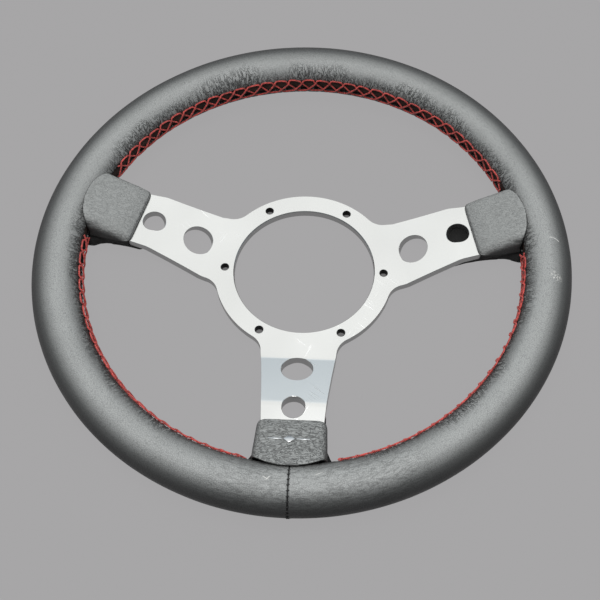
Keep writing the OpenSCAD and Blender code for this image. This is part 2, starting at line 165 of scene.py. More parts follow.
# The view of the photograph: place in metres, angles in degrees
CAMERA_PLACE = (0.034485, -0.338398, 0.579780)
CAMERA_ELEVATION, CAMERA_AZIMUTH, CAMERA_ROLL = 60.87, 0.53, 1.82
CAMERA_LENS, CAMERA_SHIFT = 63.57, (-0.0886, -0.0049)

# The one lamp, in metres and watts, and the middle of the wide panel of light in the sky
LAMP_PLACE, LAMP_SIZE, LAMP_POWER = (0.0, -0.19, 1.2), 0.6, 8.8
PANEL_AIM = (0, 0.5, 0.866)


def length(name, description, default, low, high):
    return FloatProperty(name=name, description=description, default=default, min=low, max=high,
                         subtype="DISTANCE", unit="LENGTH", precision=5)


def colour(name, description, default):
    return FloatVectorProperty(name=name, description=description, default=default, size=3,
                               min=0.0, max=1.0, subtype="COLOR")


class WheelSizes(bpy.types.PropertyGroup):
    leather: length("Leather", "Thickness of the leather", 1.4 * MM, 0.8 * MM, 3 * MM)
    lace: length("Lacing thread", "Diameter of the lacing thread", 1.1 * MM, 0.5 * MM, 2 * MM)
    lace_pitch: length("Lacing loop", "Length of one loop of lacing", 9.35 * MM, 6 * MM, 14 * MM)
    lace_gap: length("Lacing gap", "Distance between the rows of lacing", 8.9 * MM, 6 * MM, 12 * MM)
    lace_rise: length("Lacing height", "Height of the lacing above the rim's middle", 0.8 * MM, 0, 3 * MM)
    twist: length("Twist", "Length of one turn of the thread's plies", 3.2 * MM, 1 * MM, 8 * MM)
    seam: length("Seam", "Width of the seam's groove", 0.8 * MM, 0.3 * MM, 2 * MM)
    seam_depth: length("Seam depth", "Depth of the seam's groove", 0.6 * MM, 0.1 * MM, 1 * MM)
    stitch: length("Stitch", "Diameter of the seam's thread", 0.7 * MM, 0.3 * MM, 1.5 * MM)
    pucker: length("Puckers", "Depth of the creases beside the lacing", 0.6 * MM, 0, 1 * MM)
    edge: length("Plate edge", "Bevel on the edges of the plate", 0.15 * MM, 0.05 * MM, 1 * MM)
    leather_steps: IntProperty(name="Leather steps", description="Steps round the rim", default=1080,
                               min=180, max=1200)


class WheelColours(bpy.types.PropertyGroup):
    leather: colour("Leather", "Rim leather", (0.016, 0.016, 0.016))
    # Worn leather and painted highlight, on the crest of the rim
    leather_worn_highlit: colour("Worn leather", "Crest of the rim, where hands hold it", (0.368, 0.378, 0.374))
    # Covers: painted shade on their walls, painted light on their faces
    cover: colour("Cover", "Moulded covers, on their walls", (0.020, 0.020, 0.020))
    cover_face_lit: colour("Worn cover", "Moulded covers, on their faces", (0.33, 0.34, 0.335))
    thread: colour("Lacing thread", "Red lacing", (0.74, 0.10, 0.085))
    stitch: colour("Seam thread", "Black stitching", (0.010, 0.010, 0.011))
    plate: colour("Plate", "Bare aluminium", (0.875, 0.88, 0.872))
    foam: colour("Padding", "Foam seen between the threads", (0.045, 0.026, 0.020))
    floor: colour("Floor", "Floor and background", (0.386, 0.381, 0.386))


# Shader nodes

def plug(tree, target, inputs):
    """Sets a node's inputs, or links them where a socket is given."""
    for key, value in inputs.items():
        if isinstance(value, bpy.types.NodeSocket):
            tree.links.new(value, target.inputs[key])
        else:
            target.inputs[key].default_value = value


def node(tree, kind, inputs=None, **settings):
    made = tree.nodes.new(kind)
    for key, value in settings.items():
        setattr(made, key, value)
    plug(tree, made, inputs or {})
    return made


def new_material(name):
    material = bpy.data.materials.new(name)
    material.use_nodes = True
    tree = material.node_tree
    tree.nodes.clear()
    shader = node(tree, "ShaderNodeBsdfPrincipled")
    output = node(tree, "ShaderNodeOutputMaterial", {"Surface": shader.outputs[0]})
    return material, tree, shader, output


def mapped(tree, vector, scale=(1, 1, 1), turn=(0, 0, 0), shift=(0, 0, 0)):
    return node(tree, "ShaderNodeMapping", {"Vector": vector, "Scale": scale, "Rotation": turn,
                                            "Location": shift}).outputs[0]


def place(tree):
    """Object coordinates in metres."""
    return node(tree, "ShaderNodeTexCoord").outputs["Object"]


def axes(tree, vector):
    """A vector's outputs X, Y and Z."""
    return node(tree, "ShaderNodeSeparateXYZ", {0: vector}).outputs


def vector_maths(tree, operation, *vectors):
    return node(tree, "ShaderNodeVectorMath", dict(enumerate(vectors)), operation=operation).outputs


def noise_field(tree, vector, scale, detail=3.0, rough=0.55, distortion=0.0):
    return node(tree, "ShaderNodeTexNoise", {"Vector": vector, "Scale": scale, "Detail": detail,
                                             "Roughness": rough, "Distortion": distortion}).outputs["Fac"]


def span(tree, value, low, high, to_low=0.0, to_high=1.0, smooth=False):
    return node(tree, "ShaderNodeMapRange", {"Value": value, "From Min": low, "From Max": high,
                                             "To Min": to_low, "To Max": to_high},
                interpolation_type="SMOOTHSTEP" if smooth else "LINEAR").outputs[0]


def ramp(tree, value, stops):
    """A value read off a line through stops, each a place from 0 on and the value there."""
    end = stops[-1][0]
    made = node(tree, "ShaderNodeValToRGB", {0: span(tree, value, 0.0, end)})
    marks = made.color_ramp.elements
    while len(marks) < len(stops):
        marks.new(0.5)
    for mark, (at, level) in zip(marks, stops):
        mark.position, mark.color = at / end, (level, level, level, 1.0)
    return made.outputs["Color"]


def maths(tree, operation, *values):
    return node(tree, "ShaderNodeMath", dict(enumerate(values)), operation=operation).outputs[0]


def times(tree, product, *factors):
    for factor in factors:
        product = maths(tree, "MULTIPLY", product, factor)
    return product


def mix_colour(tree, factor, a, b):
    """Colour a where the factor is 0, and b where it is 1."""
    opaque = {key: value if isinstance(value, bpy.types.NodeSocket) else (*value, 1.0)
              for key, value in ((6, a), (7, b))}
    return node(tree, "ShaderNodeMix", {0: factor, **opaque}, data_type="RGBA").outputs[2]


def shade(tint, share):
    return tuple(c * share for c in tint)


def grey(level):
    return (level, level, level)


def bump(tree, height, strength, distance, normal=None):
    inputs = {"Height": height, "Strength": strength, "Distance": distance}
    if normal is not None:
        inputs["Normal"] = normal
    return node(tree, "ShaderNodeBump", inputs).outputs[0]


def wrinkle_field(tree, vector, scale, turn=0.0):
    """Winding noise, finer along an axis with a larger scale."""
    return noise_field(tree, mapped(tree, vector, scale, (0, 0, turn)), 1.0, 2.0, 0.5, 1.0)


def wrinkle_lines(tree, field, width):
    """Thin winding lines, where a noise field crosses its middle value."""
    return span(tree, maths(tree, "ABSOLUTE", maths(tree, "SUBTRACT", field, 0.5)), width, 0.0)


def grain(tree, cell, depth, strength):
    """Leather grain: rounded pebbles with fine pores, as a bump."""
    where = place(tree)
    warp = node(tree, "ShaderNodeTexNoise", {"Vector": where, "Scale": 0.4 / cell, "Detail": 2.0})
    moved = vector_maths(tree, "MULTIPLY", warp.outputs["Color"], (cell, cell, cell))[0]
    bent = vector_maths(tree, "ADD", where, moved)[0]
    cells = node(tree, "ShaderNodeTexVoronoi", {"Vector": bent, "Scale": 1 / cell, "Randomness": 1.0},
                 feature="DISTANCE_TO_EDGE").outputs["Distance"]
    pebbles = span(tree, cells, 0.0, 0.22, smooth=True)
    pores = noise_field(tree, where, 2.6 / cell, 2.0)
    return bump(tree, maths(tree, "ADD", pebbles, times(tree, pores, 0.5)), strength, depth), pebbles


def scratch_mask(tree, uv, u, v, long, wide, turn):
    """One light scratch on the rim's skin, its sizes in mm."""
    local = node(tree, "ShaderNodeMapping", {"Vector": uv, "Location": (u * MM, v * MM, 0),
                                             "Rotation": (0, 0, turn), "Scale": (long * MM, wide * MM, 1)},
                 vector_type="TEXTURE").outputs[0]
    return span(tree, vector_maths(tree, "LENGTH", local)["Value"], 1.0, 0.45, smooth=True)


def rim_leather(colours):
    material, tree, shader, _ = new_material("rim_leather")
    where = place(tree)
    fine, pebbles = grain(tree, 0.95 * MM, 0.11 * MM, 0.45)
    uv = node(tree, "ShaderNodeUVMap", uv_map="Rim").outputs[0]
    along, across = axes(tree, uv)["X"], axes(tree, uv)["Y"]
    from_seam = maths(tree, "ABSOLUTE", along)
    # Creases reach further from the lacing in some places than in others, and least far at the seam
    patches = noise_field(tree, mapped(tree, uv, (28.0, 28.0, 1.0)), 1.0, 1.0)
    drawn_in = maths(tree, "ADD", maths(tree, "ABSOLUTE", across),
                     span(tree, patches, 0.3, 0.7, 6 * MM, -3 * MM))
    drawn_in = maths(tree, "ADD", drawn_in, span(tree, from_seam, 70 * MM, 35 * MM, 0.0, 7 * MM, smooth=True))
    near = span(tree, drawn_in, 18 * MM, 7 * MM, smooth=True)
    creases = wrinkle_field(tree, uv, (480.0, 190.0, 1.0))
    shaded_crease_lines = times(tree, wrinkle_lines(tree, creases, 0.07), near)
    folds = bump(tree, maths(tree, "SUBTRACT", times(tree, creases, near), shaded_crease_lines), 1.0, 0.7 * MM, fine)
    # The light crest is wear and painted highlight; as the light from above falls, it lies a little further
    # in at the top of the wheel, and further out at its bottom
    upper = times(tree, axes(tree, where)["Y"], 4.0 / RIM_R)
    worn_and_highlit = ramp(tree, maths(tree, "ADD", times(tree, across, -1 / MM), upper), WEAR_AND_HIGHLIGHT)
    # Painted shade in the lines of shallow waves along the rim beside the lower cover, with a little painted
    # light between them
    beside = maths(tree, "ABSOLUTE", maths(tree, "SUBTRACT", along, 15 * MM))
    beside = span(tree, beside, 75 * MM, 45 * MM, smooth=True)
    waves = wrinkle_lines(tree, wrinkle_field(tree, uv, (110.0, 420.0, 1.0), 0.25), 0.075)
    wave_shade = times(tree, beside, span(tree, waves, 0, 1, 0.06, -0.36))
    broad = noise_field(tree, where, 22.0, 4.0, 0.6)
    speckle = noise_field(tree, where, 900.0, 2.0, 0.6)
    worn_and_highlit = times(tree, worn_and_highlit, maths(tree, "ADD", wave_shade, 1.0), span(tree, broad, 0.25, 0.75, 0.85, 1.08),
                  span(tree, speckle, 0.3, 0.7, 0.97, 1.03))
    # The crest painted light, for wear and as painted highlight
    base = mix_colour(tree, worn_and_highlit, colours.leather, colours.leather_worn_highlit)
    # Painted shade in the crease lines beside the lacing
    base = mix_colour(tree, times(tree, shaded_crease_lines, 0.72), base, grey(0.008))
    # Painted highlight on the creases' ridges
    ridge_highlight = times(tree, span(tree, creases, 0.42, 0.34, 0.0, 0.45), near)
    base = mix_colour(tree, ridge_highlight, base, colours.leather_worn_highlit)
    # Painted shade in the seam's groove
    base = mix_colour(tree, span(tree, from_seam, 0.55 * MM, 0.3 * MM, 0.0, 0.9), base, grey(0.006))
    base = mix_colour(tree, span(tree, pebbles, 0.0, 0.6, 0.35, 0.0), base, grey(0.012))
    scuffed = times(tree, scratch_mask(tree, uv, *CHAFED),
                    span(tree, noise_field(tree, where, 1500.0, 2.0), 0.52, 0.6))
    for mark in SCRATCHES:
        scuffed = maths(tree, "MAXIMUM", scuffed, scratch_mask(tree, uv, *mark))
    base = mix_colour(tree, times(tree, scuffed, 0.8), base, (0.72, 0.71, 0.68))
    plug(tree, shader, {"Base Color": base, "Normal": folds, "Specular IOR Level": 0.4,
                        "Roughness": span(tree, broad, 0.3, 0.75, 0.40, 0.54)})
    return material


def cover_leather(colours, name, level, turn, deep):
    """A cover's skin: how light its face is, how its wrinkles turn and how deep they are."""
    material, tree, shader, _ = new_material(name)
    where = place(tree)
    fine, pebbles = grain(tree, 0.6 * MM, 0.06 * MM, 0.5)
    wrinkles = wrinkle_field(tree, where, (240.0, 640.0, 600.0), turn)
    lines = wrinkle_lines(tree, wrinkles, 0.085)
    folds = bump(tree, maths(tree, "SUBTRACT", wrinkles, times(tree, lines, 0.6)),
                 0.4 + 0.5 * deep, (0.2 + 0.3 * deep) * MM, fine)
    normal = node(tree, "ShaderNodeNewGeometry").outputs["Normal"]
    middle_out = vector_maths(tree, "NORMALIZE", where)[0]
    facing_out = vector_maths(tree, "DOT_PRODUCT", middle_out, normal)["Value"]
    # The face, turned up to the light, is painted light, and the walls painted dark as shade. What faces the
    # rim is painted dark as shade, and the lip's end is painted half as light
    light = times(tree, span(tree, axes(tree, normal)["Z"], 0.1, 0.92, smooth=True),
                  span(tree, facing_out, 0.35, 0.65, 1.0, 0.03))
    light = maths(tree, "MAXIMUM", light, span(tree, facing_out, -0.7, -0.9, 0.0, 0.45))
    # Below the metal's front face the cover is painted black, as deep shade
    raised = span(tree, axes(tree, where)["Z"], 17 * MM, 19 * MM)
    broad = noise_field(tree, where, 60.0, 3.0)
    # Painted shade in the wrinkle lines, and a little painted light between them
    light = times(tree, light, raised, span(tree, broad, 0.25, 0.75, 0.9 * level, 1.08 * level),
                  span(tree, lines, 0, 1, 1.05 + 0.2 * deep, 0.85 - 0.6 * deep))
    base = mix_colour(tree, light, colours.cover, colours.cover_face_lit)
    base = mix_colour(tree, span(tree, pebbles, 0.0, 0.6, 0.3, 0.0), base, colours.cover)
    rough = maths(tree, "ADD", span(tree, broad, 0.3, 0.75, 0.44, 0.56), span(tree, raised, 0, 1, 0.4, 0))
    plug(tree, shader, {"Base Color": mix_colour(tree, raised, grey(0.004), base), "Normal": folds,
                        "Roughness": rough})
    return material


def twisted_thread(name, tint, rough, sheen):
    material, tree, shader, _ = new_material(name)
    where = place(tree)
    fibres = noise_field(tree, where, 2600.0, 3.0, 0.6)
    wax = noise_field(tree, where, 700.0, 2.0)
    plug(tree, shader, {"Base Color": mix_colour(tree, span(tree, wax, 0.35, 0.65), shade(tint, 0.35), tint),
                        "Normal": bump(tree, fibres, 0.4, 0.06 * MM),
                        "Roughness": span(tree, fibres, 0.3, 0.7, rough - 0.08, rough + 0.08),
                        "Sheen Weight": sheen, "Sheen Roughness": 0.4})
    return material


def satin_metal(name, tint, rough, wall_shade=1.0, deep_shade_mask=None):
    """Satin metal. Walls between its faces are rougher and painted darker as shade, and the last argument is
    a mask of the walls painted darkest, as deep shade.
    """
    material, tree, shader, _ = new_material(name)
    cloud = noise_field(tree, place(tree), 16.0, 2.0)
    normal = node(tree, "ShaderNodeNewGeometry").outputs["Normal"]
    side = span(tree, maths(tree, "ABSOLUTE", axes(tree, normal)["Z"]), 0.75, 0.4)
    tone = mix_colour(tree, span(tree, cloud, 0.3, 0.7), shade(tint, 0.93), tint)
    # Painted shade on the walls
    tone = mix_colour(tree, side, tone, shade(tint, wall_shade))
    if deep_shade_mask is not None:
        # The masked walls painted black, as deep shade
        tone = mix_colour(tree, times(tree, side, deep_shade_mask(tree)), tone, grey(0.015))
    cut = maths(tree, "MAXIMUM", hair_scratches(tree, 0.5, 0.0), hair_scratches(tree, -0.9, 3.0))
    rougher = maths(tree, "ADD", times(tree, cut, 0.12), span(tree, side, 0, 1, 0, 0.2))
    clouded = span(tree, cloud, 0.3, 0.7, rough - 0.02, rough + 0.02)
    plug(tree, shader, {"Base Color": tone, "Metallic": 1.0, "Normal": bump(tree, cut, 0.35, 0.05 * MM),
                        "Roughness": maths(tree, "ADD", clouded, rougher)})
    return material


def hair_scratches(tree, turn, shift):
    """Thin, short, light scratches in one direction, here and there."""
    turned = mapped(tree, place(tree), turn=(0, 0, turn), shift=(shift, shift, 0))
    fine = noise_field(tree, mapped(tree, turned, (1500.0, 55.0, 55.0)), 1.0, 0.0)
    patches = noise_field(tree, place(tree), 60.0, 0.0)
    return times(tree, span(tree, fine, 0.72, 0.77), span(tree, patches, 0.55, 0.65))


def bolt_holes(tree):
    """A mask of the ring in which the bolt holes lie."""
    flat = vector_maths(tree, "MULTIPLY", place(tree), (1, 1, 0))[0]
    far = vector_maths(tree, "LENGTH", flat)["Value"]
    off = maths(tree, "ABSOLUTE", maths(tree, "SUBTRACT", far, BOLT_R))
    return span(tree, off, BOLT_HOLE_R + 1.0 * MM, BOLT_HOLE_R + 0.5 * MM)


def foam(colours):
    material, tree, shader, _ = new_material("foam")
    where = place(tree)
    lumps = noise_field(tree, where, 900.0, 4.0, 0.65)
    base = mix_colour(tree, span(tree, noise_field(tree, where, 130.0), 0.35, 0.65),
                      shade(colours.foam, 0.5), shade(colours.foam, 1.5))
    plug(tree, shader, {"Base Color": base, "Normal": bump(tree, lumps, 0.8, 0.25 * MM), "Roughness": 0.85})
    return material


# Shapes

def finish_piece(name, mesh, material, slot, *nodes):
    """Links a mesh as a piece that rides on the wheel in place of CAD nodes."""
    for face in mesh.polygons:
        face.use_smooth = True
    mesh.materials.clear()
    mesh.materials.append(material)
    piece = bpy.data.objects.new(name, mesh)
    bpy.context.scene.collection.objects.link(piece)
    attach(piece, "root")
    if nodes:
        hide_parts(*nodes)
    return piece


def dress(name, material):
    """Gives a CAD node a better material."""
    mesh = frame["nodes"][name].data
    mesh.materials.clear()
    mesh.materials.append(material)


def merged_copy(name):
    """A CAD node's mesh with its loose triangles joined."""
    bm = bmesh.new()
    bm.from_mesh(frame["nodes"][name].data)
    bmesh.ops.remove_doubles(bm, verts=bm.verts, dist=SAME)
    return bm


def to_mesh(bm, name):
    mesh = bpy.data.meshes.new(name)
    bm.to_mesh(mesh)
    bm.free()
    return mesh


def made_solid(holder):
    """What an object's curve or modifiers come to. The object is removed."""
    bpy.context.scene.collection.objects.link(holder)
    bpy.context.view_layer.update()
    mesh = bpy.data.meshes.new_from_object(holder.evaluated_get(bpy.context.evaluated_depsgraph_get()))
    bpy.data.batch_remove((holder, holder.data))
    bm = bmesh.new()
    bm.from_mesh(mesh)
    bpy.data.meshes.remove(mesh)
    return bm


def ease(bm, passes, above=-inf):
    """Smooths a shape where it lies higher than above."""
    for _ in range(passes):
        bmesh.ops.smooth_vert(bm, verts=[v for v in bm.verts if v.co.z > above], factor=0.5,
                              use_axis_x=True, use_axis_y=True, use_axis_z=True)


def thicken(bm, height):
    """Makes a flat shape a solid, by raising its faces."""
    raised = bmesh.ops.extrude_face_region(bm, geom=list(bm.faces))["geom"]
    bmesh.ops.translate(bm, verts=[v for v in raised if isinstance(v, bmesh.types.BMVert)],
                        vec=(0, 0, height))
    bmesh.ops.recalc_face_normals(bm, faces=bm.faces)


def bevel(bm, edges, width, segments):
    bmesh.ops.bevel(bm, geom=edges, offset=width, offset_type="OFFSET", affect="EDGES",
                    segments=segments, profile=0.5, material=-1)


def cut(bm, geom, at, normal):
    bmesh.ops.bisect_plane(bm, geom=geom, dist=ON_CUT, plane_co=at, plane_no=normal)


def part_way(value, start, run):
    """How much of a run, which may go down, a value has covered since its start: 0 to 1."""
    return max(0.0, min(1.0, (value - start) / run))


def outward(turn):
    """The direction from the wheel's middle to the rim."""
    return Vector((cos(turn), sin(turn), 0))


def sideways(turn):
    return Vector((-sin(turn), cos(turn), 0))


def turned(places, turn):
    """Flat places along and across a spoke, where its turn round the wheel brings them."""
    c, n = cos(turn), sin(turn)
    return [(s * c - v * n, s * n + v * c) for s, v in places]


def rim_point(turn, section, radius):
    """A place on the rim: its turn round the wheel, its angle and its radius on the section."""
    out = RIM_R + radius * cos(section)
    return Vector((out * cos(turn), out * sin(turn), RIM_Z + radius * sin(section)))


def rim_place(point):
    """The turn, section angle and radius of a point on the rim."""
    out = hypot(point.x, point.y) - RIM_R
    up = point.z - RIM_Z
    return atan2(point.y, point.x), atan2(up, out), hypot(out, up)


def lace_middle(sizes):
    return pi - asin(sizes.lace_rise / GRIP_R)


def lace_half(sizes):
    return sizes.lace_gap / 2 / GRIP_R


def wrapped(angle):
    """The same angle between minus and plus half a turn."""
    return (angle + pi) % tau - pi


def leather_profile(sizes):
    """The leather's section: round the grip, over a turned edge, back inside, and over the other edge."""
    middle, edge = lace_middle(sizes), lace_half(sizes) + radians(0.3)
    thick = sizes.leather
    first, last = middle + edge, middle - edge + tau
    points = []
    for i in range(OUTER_STEPS + 1):
        points.append((first + (last - first) * i / OUTER_STEPS, GRIP_R))
    bulge = thick / 2 / GRIP_R
    for i in range(1, TURN_STEPS):
        a = pi * i / TURN_STEPS
        points.append((last + bulge * sin(a), GRIP_R - thick / 2 + thick / 2 * cos(a)))
    for i in range(INNER_STEPS + 1):
        points.append((last + (first - last) * i / INNER_STEPS, GRIP_R - thick))
    for i in range(1, TURN_STEPS):
        a = pi * i / TURN_STEPS
        points.append((first - bulge * sin(a), GRIP_R - thick / 2 - thick / 2 * cos(a)))
    return points


class Creases:
    """Short creases that fan out from the lacing's edges."""
    def __init__(self, seed, spacing):
        draw = random.Random(seed)
        self.count = round(tau * RIM_IN / spacing)
        self.lines = [(draw.uniform(-0.3, 0.3), draw.uniform(0.3, 1.0), draw.uniform(4, 15) * MM,
                       draw.uniform(-0.35, 0.35), draw.uniform(0.6, 0.95) * MM)
                      for _ in range(self.count)]

    def depth(self, turn, away):
        x = turn % tau / tau * self.count
        total = 0.0
        for k in range(int(x) - 1, int(x) + 3):
            shift, strength, reach, tilt, width = self.lines[k % self.count]
            if away > reach:
                continue
            off = (x - k - 0.5 - shift) * tau * RIM_IN / self.count - tilt * away
            total += strength * exp(-(off / width) ** 2) * (1 - away / reach) ** 0.8
        return min(total, 1.2)


class WHEEL_OT_leather(bpy.types.Operator):
    """Makes the rim's leather, creased beside the lacing and pressed in at the seam"""
    bl_idname = "wheel.leather"
    bl_label = "Rim leather"

    def execute(self, context):
        sizes, colours = context.scene.wheel_sizes, context.scene.wheel_colours
        bm = bmesh.new()
        loop = [bm.verts.new(rim_point(SEAM + pi, s, r)) for s, r in leather_profile(sizes)]
        ring = [bm.edges.new((loop[i], loop[(i + 1) % len(loop)])) for i in range(len(loop))]
        bmesh.ops.spin(bm, geom=loop + ring, cent=(0, 0, 0), axis=(0, 0, 1), angle=tau,
                       steps=sizes.leather_steps, use_merge=True)
        bmesh.ops.remove_doubles(bm, verts=bm.verts, dist=SAME)
        # More rows where the seam is pressed in
        for off in SEAM_ROWS:
            near = [f for f in bm.faces if abs(wrapped(rim_place(f.calc_center_median())[0] - SEAM)) < 0.03]
            parts = list({v for f in near for v in f.verts}) + list({e for f in near for e in f.edges}) + near
            cut(bm, parts, (0, 0, 0), sideways(SEAM + off * MM / (RIM_R + GRIP_R)))
        middle, half = lace_middle(sizes), lace_half(sizes)
        front, back = Creases(seed=11, spacing=2.5 * MM), Creases(seed=23, spacing=3.4 * MM)
        for vert in bm.verts:
            turn, section, radius = rim_place(vert.co)
            skin = (radius - GRIP_R + sizes.leather) / sizes.leather
            if skin < 0.05:
                continue
            from_lace = wrapped(section - middle)
            away = max(0.0, abs(from_lace) - half) * GRIP_R
            creases = front if from_lace < 0 else back
            across = wrapped(turn - SEAM) * (RIM_R + radius * cos(section))
            groove = sizes.seam_depth * exp(-(across / (0.55 * sizes.seam)) ** 2)
            # The leather stands a little higher just beside the groove, and is nowhere quite even
            lip = 0.10 * MM * (1 - exp(-((abs(across) - 1.1 * MM) / (0.7 * MM)) ** 2))
            hand = (0.5 + 0.5 * noise.noise(vert.co * 38)) * 0.16 * MM
            folds = sizes.pucker * creases.depth(turn, away)
            vert.co = rim_point(turn, section, radius - skin * (groove + lip + folds + hand))
        bmesh.ops.recalc_face_normals(bm, faces=bm.faces)
        uv = bm.loops.layers.uv.new("Rim")
        for face in bm.faces:
            turn_0, section_0, _ = rim_place(face.calc_center_median())
            turn_0, section_0 = wrapped(turn_0 - SEAM), wrapped(section_0 - middle)
            for corner in face.loops:
                turn, section, _ = rim_place(corner.vert.co)
                turn = turn_0 + wrapped(turn - SEAM - turn_0)
                section = section_0 + wrapped(section - middle - section_0)
                corner[uv].uv = (turn * RIM_R, section * GRIP_R)
        finish_piece("leather_skin", to_mesh(bm, "leather"), rim_leather(colours), "rim_leather",
                     "leather_wrap")
        return {"FINISHED"}


def smooth_course(points, closeness):
    """Points evenly spaced on a smooth line through the given points."""
    dense = []
    for i in range(len(points) - 1):
        p0, p1 = points[max(0, i - 1)], points[i]
        p2, p3 = points[i + 1], points[min(len(points) - 1, i + 2)]
        for j in range(12):
            t = j / 12
            dense.append(0.5 * (2 * p1 + (p2 - p0) * t + (2 * p0 - 5 * p1 + 4 * p2 - p3) * t * t
                                + (3 * p1 - p0 - 3 * p2 + p3) * t * t * t))
    dense.append(points[-1])
    even, carried = [dense[0]], 0.0
    for a, b in zip(dense, dense[1:]):
        gap = (b - a).length
        while gap > 1e-9 and carried + gap >= closeness:
            a = a.lerp(b, (closeness - carried) / gap)
            even.append(a)
            gap, carried = (b - a).length, 0.0
        carried += gap
    return even


def strand_mesh(name, courses, radius, resolution):
    """Round strands along courses of points, as one mesh."""
    curve = bpy.data.curves.new(name, "CURVE")
    curve.dimensions = "3D"
    curve.bevel_depth, curve.bevel_resolution, curve.use_fill_caps = radius, resolution, True
    for course in courses:
        spline = curve.splines.new("POLY")
        spline.points.add(len(course) - 1)
        spline.points.foreach_set("co", [c for p in course for c in (*p, 1.0)])
    bm = made_solid(bpy.data.objects.new(name, curve))
    bmesh.ops.remove_doubles(bm, verts=bm.verts, dist=SAME)
    bmesh.ops.recalc_face_normals(bm, faces=bm.faces)
    return to_mesh(bm, name)


class WHEEL_OT_lacing(bpy.types.Operator):
    """Laces the leather's edges with three crossing threads between the covers"""
    bl_idname = "wheel.lacing"
    bl_label = "Lacing"

    def execute(self, context):
        sizes, colours = context.scene.wheel_sizes, context.scene.wheel_colours
        material = twisted_thread("red_thread", colours.thread, 0.42, 0.25)
        stop = atan2(LACE_STOP + sizes.lace, RIM_IN)
        right, left, lower = SPOKES.values()
        stretches = {"lacing_upper": (right + stop, left - stop),
                     "lacing_left": (left + stop, tau + lower - stop),
                     "lacing_right": (lower + stop, right - stop)}
        draw = random.Random(5)
        step = sizes.lace_pitch / RIM_IN
        for name, (start, end) in stretches.items():
            loops = int((end - start) / step)
            begin = (start + end - loops * step) / 2
            courses = []
            for phase in range(LACE_CYCLE):
                points = []
                for k in range(-LACE_CYCLE, loops + LACE_CYCLE + 1, LACE_CYCLE):
                    for x, y, lift in LACE_RUN:
                        at = k + phase + x
                        if 0 <= at <= loops:
                            at += draw.uniform(-0.03, 0.03)
                            y_at = y + draw.uniform(-0.1, 0.1)
                            points.append(self.lace_point(sizes, begin + at * step, y_at, lift))
                courses += self.plies(sizes, smooth_course(points, LACE_STEP))
            mesh = strand_mesh(name, courses, sizes.lace * PLY_R, 1)
            finish_piece(name + "_thread", mesh, material, "red_thread", name)
        return {"FINISHED"}

    def lace_point(self, sizes, turn, y, lift):
        radius = GRIP_R + sizes.lace / 2 - LACE_PULL + lift * sizes.lace / 2
        return rim_point(turn, lace_middle(sizes) - y * lace_half(sizes), radius)

    def plies(self, sizes, course):
        """The plies, twisted round the thread's course."""
        strands = [[] for _ in range(PLIES)]
        for i, p in enumerate(course):
            along = (course[min(i + 1, len(course) - 1)] - course[max(i - 1, 0)]).normalized()
            middle = rim_point(atan2(p.y, p.x), 0, 0)
            side = along.cross(p - middle).normalized()
            up = side.cross(along)
            for j, strand in enumerate(strands):
                a = tau * (i * LACE_STEP / sizes.twist + j / PLIES)
                strand.append(p + sizes.lace * PLY_OUT * (cos(a) * side + sin(a) * up))
        return strands


class WHEEL_OT_seam(bpy.types.Operator):
    """Sews the black stitches over the seam at the bottom of the rim"""
    bl_idname = "wheel.seam"
    bl_label = "Seam stitches"

    def execute(self, context):
        sizes, colours = context.scene.wheel_sizes, context.scene.wheel_colours
        material = twisted_thread("black_thread", colours.stitch, 0.5, 0.15)
        courses = []
        for degrees in STITCH_ANGLES:
            section = radians(degrees)
            out = RIM_R + GRIP_R * cos(section)
            points = [rim_point(SEAM + off * STITCH_HALF / out, section + STITCH_SKEW * off,
                                GRIP_R - STITCH_PULL + lift * sizes.stitch) for off, lift in STITCH_RUN]
            courses.append(smooth_course(points, STITCH_STEP))
        mesh = strand_mesh("seam", courses, sizes.stitch / 2, 2)
        finish_piece("seam_stitches", mesh, material, "black_thread", "seam_thread")
        return {"FINISHED"}


